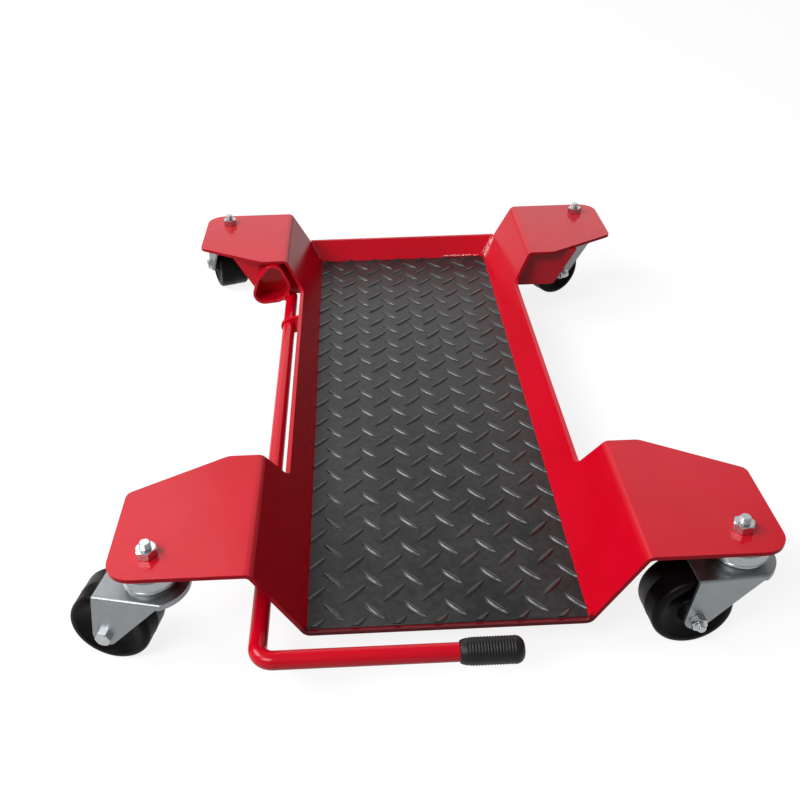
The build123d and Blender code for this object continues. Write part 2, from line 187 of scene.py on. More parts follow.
# Powder-coated steel: powder sprayed and baked to a hard film, so a deep even red with gloss, a faint orange peel
# and a thin bloom of dust that dulls the gloss in patches
powderCoat = {
    "deep": "#d4021f", "light": "#dc0425", "patch": 90 * mm, "patchFrom": 0.35, "patchTo": 0.65,
    "dust": 40 * mm, "dustFrom": 0.35, "dustTo": 0.7, "glossLow": 0.15, "glossHigh": 0.23,
    "peel": 3.0 * mm, "peelDepth": 0.03 * mm, "peelShare": 0.25, "ior": 1.5, "shine": 0.28,
}
weldCoat = {"peel": 2.0 * mm, "peelDepth": 0.7 * mm, "peelShare": 1.0, "shine": 0.9}


def makePowderCoat(name, coat):
    material, tree, shader, place = startMaterial(name)
    patches = addNode(tree, "ShaderNodeTexNoise", {"Vector": place, "Scale": 1 / powderCoat["patch"], "Detail": 3.0})
    spread = addNode(tree, "ShaderNodeMapRange",
                     {"Value": patches.outputs[0], "From Min": powderCoat["patchFrom"],
                      "From Max": powderCoat["patchTo"], "To Min": 0.0, "To Max": 1.0})
    colour = addNode(tree, "ShaderNodeMix",
                     {0: spread.outputs[0], 6: linear(powderCoat["deep"]), 7: linear(powderCoat["light"])},
                     data_type="RGBA")
    bloom = addNode(tree, "ShaderNodeTexNoise",
                    {"Vector": place, "Scale": 1 / powderCoat["dust"], "Detail": 6.0, "Roughness": 0.6})
    gloss = addNode(tree, "ShaderNodeMapRange",
                    {"Value": bloom.outputs[0], "From Min": powderCoat["dustFrom"], "From Max": powderCoat["dustTo"],
                     "To Min": powderCoat["glossLow"], "To Max": powderCoat["glossHigh"]})
    skin = addNode(tree, "ShaderNodeTexNoise", {"Vector": place, "Scale": 1 / coat["peel"], "Detail": 2.0})
    bump = addNode(tree, "ShaderNodeBump",
                   {"Height": skin.outputs[0], "Strength": coat["peelShare"], "Distance": coat["peelDepth"]})
    tree.links.new(colour.outputs[2], shader.inputs["Base Color"])
    tree.links.new(gloss.outputs[0], shader.inputs["Roughness"])
    tree.links.new(bump.outputs[0], shader.inputs["Normal"])
    shader.inputs["IOR"].default_value = powderCoat["ior"]
    shader.inputs["Specular IOR Level"].default_value = coat["shine"]
    return material


redPaint = makePowderCoat("powderCoatedSteel", powderCoat)
# the same coat over a weld, where scale and spatter keep it rough and each grain glints
weldPaint = makePowderCoat("powderCoatedWeld", weldCoat)
# the same coat on the tray: duller on the steep sides, where less powder lands; faces turned to the front are
# darkened as painted shade, and the bare strip before the mat is painted darker, so the open end shows a dark red
# line
trayDarkening = {
    # rubbed: the dark red of the painted shade on front faces and of the darker strip
    "rubbed": "#6a0b17", "from": -377.4 * mm, "to": -378.6 * mm, "low": 1.5 * mm, "high": 4.0 * mm,
    "frontShadeShare": 0.45, "frontShadeFrom": -0.6, "frontShadeTo": -0.9, "steepShine": 0.1, "steepFrom": 0.55, "steepTo": 0.95,
}


def makeTrayPaint():
    material = makePowderCoat("powderCoatedTray", powderCoat)
    tree = material.node_tree
    shader = tree.nodes["Principled BSDF"]
    place = tree.nodes["Texture Coordinate"].outputs["Object"]
    spot = addNode(tree, "ShaderNodeSeparateXYZ", {"Vector": place})
    # painted darker towards the front edge and low down: the bare strip before the mat
    ahead = addNode(tree, "ShaderNodeMapRange",
                    {"Value": spot.outputs[1], "From Min": trayDarkening["from"], "From Max": trayDarkening["to"],
                     "To Min": 0.0, "To Max": 1.0})
    down = addNode(tree, "ShaderNodeMapRange",
                   {"Value": spot.outputs[2], "From Min": trayDarkening["high"], "From Max": trayDarkening["low"],
                    "To Min": 0.0, "To Max": 1.0})
    strip = addNode(tree, "ShaderNodeMath", {0: ahead.outputs[0], 1: down.outputs[0]}, operation="MULTIPLY")
    # painted shade: faces turned to the front are darkened towards the dark red
    surface = addNode(tree, "ShaderNodeNewGeometry")
    facing = addNode(tree, "ShaderNodeSeparateXYZ", {"Vector": surface.outputs["Normal"]})
    edge = addNode(tree, "ShaderNodeMapRange",
                   {"Value": facing.outputs[1], "From Min": trayDarkening["frontShadeFrom"], "From Max": trayDarkening["frontShadeTo"],
                    "To Min": 0.0, "To Max": trayDarkening["frontShadeShare"]})
    dark = addNode(tree, "ShaderNodeMath", {0: strip.outputs[0], 1: edge.outputs[0]}, operation="MAXIMUM")
    clean = shader.inputs["Base Color"].links[0].from_socket
    colour = addNode(tree, "ShaderNodeMix", {0: dark.outputs[0], 6: clean, 7: linear(trayDarkening["rubbed"])},
                     data_type="RGBA")
    tree.links.new(colour.outputs[2], shader.inputs["Base Color"])
    shine = addNode(tree, "ShaderNodeMapRange",
                    {"Value": facing.outputs[2], "From Min": trayDarkening["steepFrom"], "From Max": trayDarkening["steepTo"],
                     "To Min": trayDarkening["steepShine"], "To Max": powderCoat["shine"]})
    tree.links.new(shine.outputs[0], shader.inputs["Specular IOR Level"])
    return material


trayPaint = makeTrayPaint()


# Moulded rubber: a dark grey sheet with a fine matt grain, dusty in patches, so the top has a soft sheen, and
# leaves rubbed smooth, so their flanks glint
treadRubber = {
    "dark": "#202021", "dusty": "#373637", "cloud": 70 * mm, "cloudFrom": 0.3, "cloudTo": 0.7, "speck": 7 * mm,
    "filmFrom": 0.16, "filmTo": 0.36, "mattLow": 0.38, "mattHigh": 0.52, "grain": 0.7 * mm, "grainShare": 0.2,
    "grainDepth": 0.04 * mm, "wornLow": -1.5 * mm, "wornHigh": -0.9 * mm, "worn": 0.22, "sheen": 0.36,
    "wornSheen": 0.56, "ior": 1.52,
}


def makeTreadRubber():
    material, tree, shader, place = startMaterial("mouldedRubber")
    cloud = addNode(tree, "ShaderNodeTexNoise",
                    {"Vector": place, "Scale": 1 / treadRubber["cloud"], "Detail": 5.0, "Roughness": 0.62})
    speck = addNode(tree, "ShaderNodeTexNoise",
                    {"Vector": place, "Scale": 1 / treadRubber["speck"], "Detail": 4.0, "Roughness": 0.7})
    film = addNode(tree, "ShaderNodeMath", {0: cloud.outputs[0], 1: speck.outputs[0]}, operation="MULTIPLY")
    amount = addNode(tree, "ShaderNodeMapRange",
                     {"Value": film.outputs[0], "From Min": treadRubber["filmFrom"],
                      "From Max": treadRubber["filmTo"], "To Min": 0.0, "To Max": 1.0})
    colour = addNode(tree, "ShaderNodeMix",
                     {0: amount.outputs[0], 6: linear(treadRubber["dark"]), 7: linear(treadRubber["dusty"])},
                     data_type="RGBA")
    matt = addNode(tree, "ShaderNodeMapRange",
                   {"Value": cloud.outputs[0], "From Min": treadRubber["cloudFrom"],
                    "From Max": treadRubber["cloudTo"], "To Min": treadRubber["mattLow"],
                    "To Max": treadRubber["mattHigh"]})
    grain = addNode(tree, "ShaderNodeTexNoise",
                    {"Vector": place, "Scale": 1 / treadRubber["grain"], "Detail": 3.0})
    bump = addNode(tree, "ShaderNodeBump",
                   {"Height": grain.outputs[0], "Strength": treadRubber["grainShare"],
                    "Distance": treadRubber["grainDepth"]})
    tree.links.new(colour.outputs[2], shader.inputs["Base Color"])
    height = addNode(tree, "ShaderNodeSeparateXYZ", {"Vector": place})
    raised = addNode(tree, "ShaderNodeMapRange",
                     {"Value": height.outputs[2], "From Min": treadRubber["wornLow"],
                      "From Max": treadRubber["wornHigh"], "To Min": 0.0, "To Max": 1.0})
    rubbed = addNode(tree, "ShaderNodeMix", {0: raised.outputs[0], 2: matt.outputs[0], 3: treadRubber["worn"]},
                     data_type="FLOAT")
    tree.links.new(rubbed.outputs[0], shader.inputs["Roughness"])
    sheen = addNode(tree, "ShaderNodeMix",
                    {0: raised.outputs[0], 2: treadRubber["sheen"], 3: treadRubber["wornSheen"]}, data_type="FLOAT")
    tree.links.new(sheen.outputs[0], shader.inputs["Specular IOR Level"])
    tree.links.new(bump.outputs[0], shader.inputs["Normal"])
    shader.inputs["IOR"].default_value = treadRubber["ior"]
    return material


# Dipped PVC grip: near black, satin, with a very fine pebble from the mould
gripPvc = {
    "dark": "#0c0c0d", "worn": "#161618", "rub": 9 * mm, "rubFrom": 0.3, "rubTo": 0.7, "satinLow": 0.36,
    "satinHigh": 0.5, "pebble": 0.5 * mm, "pebbleShare": 0.2, "pebbleDepth": 0.05 * mm, "sheen": 0.34,
}


def makeGripPvc():
    material, tree, shader, place = startMaterial("mouldedPvc")
    rub = addNode(tree, "ShaderNodeTexNoise", {"Vector": place, "Scale": 1 / gripPvc["rub"], "Detail": 4.0})
    colour = addNode(tree, "ShaderNodeMix",
                     {0: rub.outputs[0], 6: linear(gripPvc["dark"]), 7: linear(gripPvc["worn"])}, data_type="RGBA")
    satin = addNode(tree, "ShaderNodeMapRange",
                    {"Value": rub.outputs[0], "From Min": gripPvc["rubFrom"], "From Max": gripPvc["rubTo"],
                     "To Min": gripPvc["satinLow"], "To Max": gripPvc["satinHigh"]})
    pebble = addNode(tree, "ShaderNodeTexVoronoi", {"Vector": place, "Scale": 1 / gripPvc["pebble"]})
    bump = addNode(tree, "ShaderNodeBump",
                   {"Height": pebble.outputs[0], "Strength": gripPvc["pebbleShare"],
                    "Distance": gripPvc["pebbleDepth"]})
    tree.links.new(colour.outputs[2], shader.inputs["Base Color"])
    tree.links.new(satin.outputs[0], shader.inputs["Roughness"])
    tree.links.new(bump.outputs[0], shader.inputs["Normal"])
    shader.inputs["Specular IOR Level"].default_value = gripPvc["sheen"]
    return material


# Bright zinc plate on steel: a thin crystalline layer, so a soft grey mirror with faint clouds and drawing lines
zincPlate = {"stretch": 12.0, "mistFrom": 0.7, "mistTo": 1.3, "lineShare": 0.12, "lineDepth": 0.02 * mm}


def makeZinc(name, finish):
    material, tree, shader, place = startMaterial(name)
    cloud = addNode(tree, "ShaderNodeTexNoise",
                    {"Vector": place, "Scale": 1 / finish["cloud"], "Detail": 4.0, "Roughness": 0.6})
    colour = addNode(tree, "ShaderNodeMix",
                     {0: cloud.outputs[0], 6: linear(finish["dark"]), 7: linear(finish["light"])}, data_type="RGBA")
    stretch = addNode(tree, "ShaderNodeMapping", {"Vector": place, "Scale": (1.0, 1.0, zincPlate["stretch"])})
    lines = addNode(tree, "ShaderNodeTexNoise",
                    {"Vector": stretch.outputs[0], "Scale": 1 / finish["line"], "Detail": 3.0})
    mist = addNode(tree, "ShaderNodeMath", {0: cloud.outputs[0], 1: lines.outputs[0]}, operation="ADD")
    gloss = addNode(tree, "ShaderNodeMapRange",
                    {"Value": mist.outputs[0], "From Min": zincPlate["mistFrom"], "From Max": zincPlate["mistTo"],
                     "To Min": finish["smooth"], "To Max": finish["dull"]})
    bump = addNode(tree, "ShaderNodeBump",
                   {"Height": lines.outputs[0], "Strength": zincPlate["lineShare"],
                    "Distance": zincPlate["lineDepth"]})
    tree.links.new(colour.outputs[2], shader.inputs["Base Color"])
    tree.links.new(gloss.outputs[0], shader.inputs["Roughness"])
    tree.links.new(bump.outputs[0], shader.inputs["Normal"])
    shader.inputs["Metallic"].default_value = 1.0
    return material


# Moulded phenolic wheel: brown-black resin, turned on its faces, so fine rings catch the light round the axle
wheelResin = {
    "dark": "#090707", "brown": "#150e0f", "cloud": 14 * mm, "dust": 4 * mm, "dustFrom": 0.3, "dustTo": 0.7,
    "satinLow": 0.26, "satinHigh": 0.38, "turning": 0.9 * mm, "turningDrift": 0.6, "turningShare": 0.15,
    "turningDepth": 0.03 * mm, "sheen": 0.09,
}


def makeWheelResin():
    material, tree, shader, place = startMaterial("mouldedPhenolic")
    cloud = addNode(tree, "ShaderNodeTexNoise",
                    {"Vector": place, "Scale": 1 / wheelResin["cloud"], "Detail": 4.0})
    colour = addNode(tree, "ShaderNodeMix",
                     {0: cloud.outputs[0], 6: linear(wheelResin["dark"]), 7: linear(wheelResin["brown"])},
                     data_type="RGBA")
    dust = addNode(tree, "ShaderNodeTexNoise",
                   {"Vector": place, "Scale": 1 / wheelResin["dust"], "Detail": 5.0, "Roughness": 0.7})
    satin = addNode(tree, "ShaderNodeMapRange",
                    {"Value": dust.outputs[0], "From Min": wheelResin["dustFrom"], "From Max": wheelResin["dustTo"],
                     "To Min": wheelResin["satinLow"], "To Max": wheelResin["satinHigh"]})
    # a ring texture repeats each 2 pi / 20 of its scaled radius
    rings = addNode(tree, "ShaderNodeTexWave",
                    {"Vector": place, "Scale": 2 * math.pi / 20 / wheelResin["turning"],
                     "Distortion": wheelResin["turningDrift"]},
                    wave_type="RINGS", rings_direction="Z")
    bump = addNode(tree, "ShaderNodeBump",
                   {"Height": rings.outputs[1], "Strength": wheelResin["turningShare"],
                    "Distance": wheelResin["turningDepth"]})
    tree.links.new(colour.outputs[2], shader.inputs["Base Color"])
    tree.links.new(satin.outputs[0], shader.inputs["Roughness"])
    tree.links.new(bump.outputs[0], shader.inputs["Normal"])
    shader.inputs["Specular IOR Level"].default_value = wheelResin["sheen"]
    return material


matRubber = makeTreadRubber()
gripRubber = makeGripPvc()
# plated over pressed sheet with its mill skin, so the forks stay dull
zincPressing = makeZinc("zincPlatedPressing", {
    "dark": "#8b8f92", "light": "#a4a8aa", "cloud": 11 * mm, "line": 5 * mm, "smooth": 0.34, "dull": 0.46})
# plated over a cup drawn smooth in its die, so it mirrors more
zincCup = makeZinc("zincPlatedCup", {
    "dark": "#a2a6a9", "light": "#bdc0c2", "cloud": 8 * mm, "line": 4 * mm, "smooth": 0.18, "dull": 0.28})
# plated in a barrel with other screws, which rub it bright
zincBolt = makeZinc("zincPlatedBolt", {
    "dark": "#b4b8bb", "light": "#d6d8d8", "cloud": 4 * mm, "line": 2.5 * mm, "smooth": 0.16, "dull": 0.3})
# ground and polished without any plate, so a clear mirror
bearingSteel = makeZinc("polishedBearingSteel", {
    "dark": "#c2c4c8", "light": "#d5d6d9", "cloud": 3 * mm, "line": 1.5 * mm, "smooth": 0.06, "dull": 0.14})
wheelBlack = makeWheelResin()
slotMaterials = {
    "red_paint": redPaint, "mat_rubber": matRubber, "grip_rubber": gripRubber, "zinc_pressing": zincPressing,
    "zinc_bolt": zincBolt, "bearing_steel": bearingSteel, "wheel_black": wheelBlack,
}
print("materials:", ", ".join(m.name for m in slotMaterials.values()))

# CAD pieces that keep their shape: the record's slot gives the finish, and cut edges get the small round that
# deburring and paint leave
edgeRound = {"red_paint": 0.8 * mm, "zinc_pressing": 1.1 * mm, "zinc_bolt": 0.3 * mm}
edgeFinish = {"seamGap": 0.02 * mm, "segments": 3, "sharpFrom": 40.0}
for part in frame["record"]["subparts"]:
    piece = nodes[part["node"]]
    slotName = part["material_slot"]
    for materialSlot in piece.material_slots:
        materialSlot.material = trayPaint if part["node"] == "tray" else slotMaterials[slotName]
    if slotName in edgeRound and part["node"] != "lever_rod":
        weld = piece.modifiers.new("joinSeams", "WELD")
        weld.merge_threshold = edgeFinish["seamGap"]
        bevel = piece.modifiers.new("edgeRound", "BEVEL")
        bevel.width = edgeRound[slotName]
        bevel.segments = edgeFinish["segments"]
        bevel.limit_method = "ANGLE"
        bevel.angle_limit = math.radians(edgeFinish["sharpFrom"])
        normals = piece.modifiers.new("evenNormals", "WEIGHTED_NORMAL")
        normals.keep_sharp = True
print("CAD pieces dressed")


# "front_left" to "FrontLeft"
def title(corner):
    return "".join(word.capitalize() for word in corner.split("_"))


# a profile with its corners turned into arcs, each taking no more than a share of the lines it joins
def roundCorners(points, radii, steps=4, mostShare=0.72):
    result = []
    for i, (corner, radius) in enumerate(zip(points, radii)):
        here = Vector(corner)
        if radius == 0:
            result.append(here)
            continue
        back = Vector(points[i - 1]) - here
        ahead = Vector(points[(i + 1) % len(points)]) - here
        reach = radius / math.tan(back.angle(ahead) / 2)
        reach = min(reach, back.length * mostShare, ahead.length * mostShare)
        first = here + back.normalized() * reach
        last = here + ahead.normalized() * reach
        pull = math.sin(back.angle(ahead) / 2)
        for step in range(steps + 1):
            t = step / steps
            a, b, c = (1 - t) ** 2, 2 * t * (1 - t) * pull, t ** 2
            result.append((first * a + here * b + last * c) / (a + b + c))
    return result


# rings of equal count joined by quads, in millimetres; loop joins the last ring to the first
def ringMesh(name, ringSets, material, sharpAngle=32):
    points, faces = [], []
    for rings, loop in ringSets:
        base = len(points)
        count = len(rings[0])
        points += [Vector(p) * mm for ring in rings for p in ring]
        for a in range(len(rings) if loop else len(rings) - 1):
            b = (a + 1) % len(rings)
            for i in range(count):
                j = (i + 1) % count
                faces.append((base + a * count + i, base + a * count + j, base + b * count + j, base + b * count + i))
        if not loop:
            faces.append(tuple(base + i for i in reversed(range(count))))
            faces.append(tuple(base + (len(rings) - 1) * count + i for i in range(count)))
    mesh = bpy.data.meshes.new(name)
    mesh.from_pydata(points, [], faces)
    shape = bmesh.new()
    shape.from_mesh(mesh)
    bmesh.ops.remove_doubles(shape, verts=shape.verts, dist=mergeGap)
    bmesh.ops.recalc_face_normals(shape, faces=shape.faces)
    shape.to_mesh(mesh)
    shape.free()
    mesh.polygons.foreach_set("use_smooth", [True] * len(mesh.polygons))
    mesh.set_sharp_from_angle(angle=math.radians(sharpAngle))
    mesh.materials.append(material)
    piece = bpy.data.objects.new(name, mesh)
    scene.collection.objects.link(piece)
    return piece


# a profile of (along the axis, radius) points turned about local Z
def lathe(profile, count=96):
    turns = [2 * math.pi * i / count for i in range(count)]
    return [[(r * math.cos(t), r * math.sin(t), z) for t in turns] for z, r in profile]


# local Z along an axis, set at a point in metres
def axisFrame(origin, along, across):
    zAxis = Vector(along).normalized()
    yAxis = zAxis.cross(Vector(across)).normalized()
    xAxis = yAxis.cross(zAxis)
    turn = Matrix((xAxis, yAxis, zAxis)).transposed().to_4x4()
    return Matrix.Translation(origin) @ turn


# a screw thread as a wave of the radius that climbs one pitch a turn, flat at its root and turned down at its end
def threadRings(radius, depth, pitch, start, end, tip, count=48, perPitch=8, flankSlope=1.25):
    rings = []
    steps = int((end - start) / pitch * perPitch)
    for step in range(steps + 1):
        z = start + (end - start) * step / steps
        limit = radius - max(0.0, tip - (end - z))
        ring = []
        for i in range(count):
            phase = z / pitch - i / count
            ridge = abs(2 * (phase - math.floor(phase + 0.5)))
            r = min(limit, radius - depth * min(1.0, flankSlope * ridge))
            angle = 2 * math.pi * i / count
            ring.append((r * math.cos(angle), r * math.sin(angle), z))
        rings.append(ring)
    return rings


# a hexagon along local Z with its corners turned down outside a round face, bored through or solid
def hexRings(flats, low, high, bore, lowChamfer=True, count=72, faceShare=0.475, chamfer=30):
    face = flats * faceShare
    turns = [2 * math.pi * i / count for i in range(count)]
    reach = [flats / 2 / math.cos((t + math.pi / 6) % (math.pi / 3) - math.pi / 6) for t in turns]
    drop = [(r - face) * math.tan(math.radians(chamfer)) for r in reach]

    def ring(radii, heights):
        return [(r * math.cos(t), r * math.sin(t), z) for r, z, t in zip(radii, heights, turns)]

    flat = [face] * count
    inner = [max(bore, axisPoint)] * count
    rings = [ring(inner, [low] * count)]
    if lowChamfer:
        rings.append(ring(flat, [low] * count))
    rings.append(ring(reach, [low + (d if lowChamfer else 0) for d in drop]))
    rings.append(ring(reach, [high - d for d in drop]))
    rings.append(ring(flat, [high] * count))
    rings.append(ring(inner, [high] * count))
    return rings


# Tread mat: leaves in two leaning rows, on a sheet that stops a leaf's height below the CAD mat's top
treadMat = {
    "leafLength": 31.0, "leafWidth": 7.4, "leafHeight": 1.6, "flank": 0.68, "pitchX": 36.3, "pitchY": 39.35,
    "columns": 8, "rows": 21, "sidePower": 2.4, "tipWidth": 0.05, "ridgePower": 3.2, "ridgeFall": 0.6,
    "sunk": 0.1, "underInset": 4.0, "edgeRound": 0.5, "stations": 18, "across": 12, "sharpFrom": 50,
    "backLeaning": {"first": (-100.5, 348.0), "turn": -47.0},
    "foreLeaning": {"first": (-118.7, 369.0), "turn": 46.0},
}


# one leaf: pointed at both ends, with smooth flanks up to a ridge
def addLeaf(leaves, cx, cy, turn, top):
    sunk = treadMat["sunk"]
    stations, across = treadMat["stations"], treadMat["across"]
    grid = []
    for i in range(stations + 1):
        s = 2 * i / stations - 1
        wide = treadMat["leafWidth"] / 2 * (1 - abs(s) ** treadMat["sidePower"]) + treadMat["tipWidth"]
        tall = treadMat["leafHeight"] * (1 - abs(s) ** treadMat["ridgePower"]) ** treadMat["ridgeFall"]
        along = s * treadMat["leafLength"] / 2
        line = []
        for j in range(across + 1):
            t = 2 * j / across - 1
            x = cx + along * math.cos(turn) - t * wide * math.sin(turn)
            y = cy + along * math.sin(turn) + t * wide * math.cos(turn)
            climb = min(1.0, (1 - abs(t)) / treadMat["flank"])
            z = top - sunk + (tall + sunk) * climb * climb * (3 - 2 * climb)
            line.append(leaves.verts.new((x * mm, y * mm, z * mm)))
        grid.append(line)
    for a, b in zip(grid, grid[1:]):
        for j in range(across):
            leaves.faces.new((a[j], b[j], b[j + 1], a[j + 1]))
        leaves.faces.new((a[0], a[-1], b[-1], b[0]))
    leaves.faces.new(grid[0])
    leaves.faces.new(reversed(grid[-1]))


def makeTreadMat():
    low, high = (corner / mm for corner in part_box("rubber_mat"))
    top = high.z - treadMat["leafHeight"]
    edge = treadMat["edgeRound"]
    shape = bmesh.new()

    def outline(x, y0, y1, z):
        return [shape.verts.new((px * mm, py * mm, z * mm)) for px, py in ((-x, y0), (x, y0), (x, y1), (-x, y1))]

    # narrower underneath, where the tray's bends leave less room, and rounded at the top edge
    loops = [outline(high.x - treadMat["underInset"], low.y, high.y, low.z)]
    for inward, drop in ((0.0, 1.0), (0.3, 0.3), (1.0, 0.0)):
        loops.append(outline(high.x - edge * (1 + inward), low.y + edge * inward, high.y - edge * inward,
                             top - edge * drop))
    shape.faces.new(reversed(loops[0]))
    for a, b in zip(loops, loops[1:]):
        for i in range(4):
            shape.faces.new((a[i], a[(i + 1) % 4], b[(i + 1) % 4], b[i]))
    shape.faces.new(loops[-1])
    leaves = bmesh.new()
    for rows in (treadMat["backLeaning"], treadMat["foreLeaning"]):
        turn = math.radians(rows["turn"])
        for column in range(treadMat["columns"]):
            for row in range(treadMat["rows"]):
                cx = rows["first"][0] + column * treadMat["pitchX"]
                cy = rows["first"][1] - (row - 1) * treadMat["pitchY"]
                addLeaf(leaves, cx, cy, turn, top)
    # the mat is cut from a roll, so the leaves at its edges are cut with it
    rim = ((high.x - edge * 2, 0, 0), (edge * 2 - high.x, 0, 0), (0, high.y - edge, 0), (0, low.y + edge, 0))
    for spot in rim:
        cut = bmesh.ops.bisect_plane(leaves, geom=leaves.verts[:] + leaves.edges[:] + leaves.faces[:],
                                     plane_co=Vector(spot) * mm, plane_no=Vector(spot).normalized(), clear_outer=True)
        openEdges = [e for e in cut["geom_cut"] if isinstance(e, bmesh.types.BMEdge)]
        bmesh.ops.holes_fill(leaves, edges=openEdges)
    leafMesh = bpy.data.meshes.new("leaves")
    leaves.to_mesh(leafMesh)
    leaves.free()
    shape.from_mesh(leafMesh)
    bpy.data.meshes.remove(leafMesh)
    mesh = bpy.data.meshes.new("treadMat")
    bmesh.ops.recalc_face_normals(shape, faces=shape.faces)
    shape.to_mesh(mesh)
    shape.free()
    mesh.polygons.foreach_set("use_smooth", [True] * len(mesh.polygons))
    mesh.set_sharp_from_angle(angle=math.radians(treadMat["sharpFrom"]))
    mesh.materials.append(matRubber)
    piece = bpy.data.objects.new("treadMat", mesh)
    scene.collection.objects.link(piece)
    print("tread mat:", len(mesh.polygons), "faces")
    return piece


mat = makeTreadMat()
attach(mat, "frame")
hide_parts("rubber_mat")

# Grip: a sleeve on the arm with rings cut in, closed and round at its end; lip and groove are (along, depth) points
gripSleeve = {
    "ribs": 16, "ribDepth": 0.55, "ribStart": 5.6, "ribEnd": 45.4, "mouth": 2.4, "swell": 12.0, "wall": 3.6,
    "lip": ((0.0, 0.8), (0.3, 0.2)), "smooth": (0.9, 2.0, 3.2, 4.4),
    "groove": ((0.0, 0.0), (0.25, 0.0), (0.38, 0.3), (0.5, 0.85), (0.62, 1.0), (0.75, 0.85), (0.88, 0.3)),
    "endRound": 8.2, "endSteps": 10, "endDome": 0.1, "endFlat": 2.0, "around": 72, "sharpFrom": 50,
}


def makeGrip():
    low, high = (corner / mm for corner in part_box("lever_grip"))
    length = high.x - low.x
    outer = (high.z - low.z) / 2
    bore = outer - gripSleeve["wall"]
    pitch = (gripSleeve["ribEnd"] - gripSleeve["ribStart"]) / gripSleeve["ribs"]

    # the sleeve swells from its thin mouth to its full size
    def skin(z):
        short = max(0.0, 1 - z / gripSleeve["swell"])
        return outer - gripSleeve["mouth"] * short * short

    profile = [(0.0, bore)] + [(z, skin(0) - depth) for z, depth in gripSleeve["lip"]]
    profile += [(z, skin(z)) for z in gripSleeve["smooth"]]
    for rib in range(gripSleeve["ribs"]):
        start = gripSleeve["ribStart"] + rib * pitch
        for share, groove in gripSleeve["groove"]:
            z = start + share * pitch
            profile.append((z, skin(z) - groove * gripSleeve["ribDepth"]))
    profile.append((gripSleeve["ribEnd"], outer))
    ends = gripSleeve["endRound"]
    for step in range(gripSleeve["endSteps"] + 1):
        angle = math.pi / 2 * step / gripSleeve["endSteps"]
        profile.append((length - ends + ends * math.sin(angle), outer - ends + ends * math.cos(angle)))
    profile += [(length - gripSleeve["endDome"], gripSleeve["endFlat"]), (length, axisPoint)]
    turned = lathe(profile, gripSleeve["around"])
    piece = ringMesh("gripSleeve", [(turned, False)], gripRubber, gripSleeve["sharpFrom"])
    middle = (low + high) / 2
    piece.matrix_world = axisFrame((low.x * mm, middle.y * mm, middle.z * mm), (1, 0, 0), (0, 0, 1))
    return piece


grip = makeGrip()
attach(grip, "brake_lever")
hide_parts("lever_grip")
print("grip:", gripSleeve["ribs"], "ribs")

# Caster wheel: flat rim, dished web and a hub that runs to the fork, with a mould seam round the tread
casterWheel = {
    "radius": 37.5, "width": 42.0, "shoulder": 5.0, "rimInner": 28.5, "rimStep": 1.5, "dish": 20.0, "webInset": 5.0,
    "hubRadius": 11.0, "hubFoot": 2.5, "hubHalf": 25.4, "bore": 6.05, "seam": 0.25, "seamTop": 0.2, "seamFoot": 0.5,
    "hubRounds": [0.6, 1.2, 1.6, 6.0, 2.0, 1.5], "roundSteps": 5, "around": 128, "sharpFrom": 40,
}


def makeWheel(corner):
    w = casterWheel
    side = w["width"] / 2
    web = side - w["webInset"]
    halfProfile = [
        (w["hubHalf"], w["bore"]), (w["hubHalf"], w["hubRadius"]), (web, w["hubRadius"] + w["hubFoot"]),
        (web, w["dish"]), (side - w["rimStep"], w["rimInner"]), (side, w["rimInner"] + w["rimStep"]),
        (side, w["radius"] - w["seam"]), (w["seamFoot"], w["radius"] - w["seam"]), (w["seamTop"], w["radius"]),
    ]
    halfRadii = w["hubRounds"] + [w["shoulder"], 0, 0]
    points = halfProfile + [(-z, r) for z, r in reversed(halfProfile)]
    profile = roundCorners(points, halfRadii + halfRadii[::-1], w["roundSteps"])
    turned = lathe(profile, w["around"])
    piece = ringMesh("wheel" + title(corner), [(turned, True)], wheelBlack, w["sharpFrom"])
    roll = joints["roll_" + corner]
    piece.matrix_world = axisFrame(roll["pos_m"], roll["axis"], (0, 0, 1))
    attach(piece, "wheel_" + corner)
    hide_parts("wheel_" + corner)


# Stem: rivet head, shank and a metric thread with a turned end, measured from the wing's top
stemScrew = {
    "head": 11.0, "headLow": -42.0, "headHigh": -37.0, "shank": 6.0, "shoulder": -6.5, "radius": 5.0, "pitch": 1.5,
    "depth": 0.92, "tip": 1.0, "end": 14.0, "sunk": 1.0, "rounds": [0, 1.5, 0.4, 0, 0.3, 0, 0], "around": 64,
    "sharpFrom": 38,
}


def makeStem(corner):
    s = stemScrew
    body = [
        (s["headLow"], axisPoint), (s["headLow"], s["head"]), (s["headHigh"], s["head"]), (s["headHigh"], s["shank"]),
        (s["shoulder"], s["shank"]), (s["shoulder"], s["radius"] - s["depth"]),
        (s["shoulder"] + s["sunk"], axisPoint),
    ]
    turned = lathe(roundCorners(body, s["rounds"]), s["around"])
    thread = threadRings(s["radius"], s["depth"], s["pitch"], s["shoulder"], s["end"], s["tip"])
    piece = ringMesh("stem" + title(corner), [(turned, False), (thread, False)], zincBolt, s["sharpFrom"])
    swivel = joints["swivel_" + corner]["pos_m"]
    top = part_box("tray")[1].z
    piece.matrix_world = Matrix.Translation((swivel[0], swivel[1], top))
    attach(piece, "frame")
    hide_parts("stem_" + corner)


# Stem nut: each stopped at its own turn when it was tight
stemNut = {
    "flats": 17.0, "bore": 4.6, "sharpFrom": 25,
    "turns": {"front_left": 0.35, "front_right": 0.62, "rear_left": 0.2, "rear_right": 0.5},
}


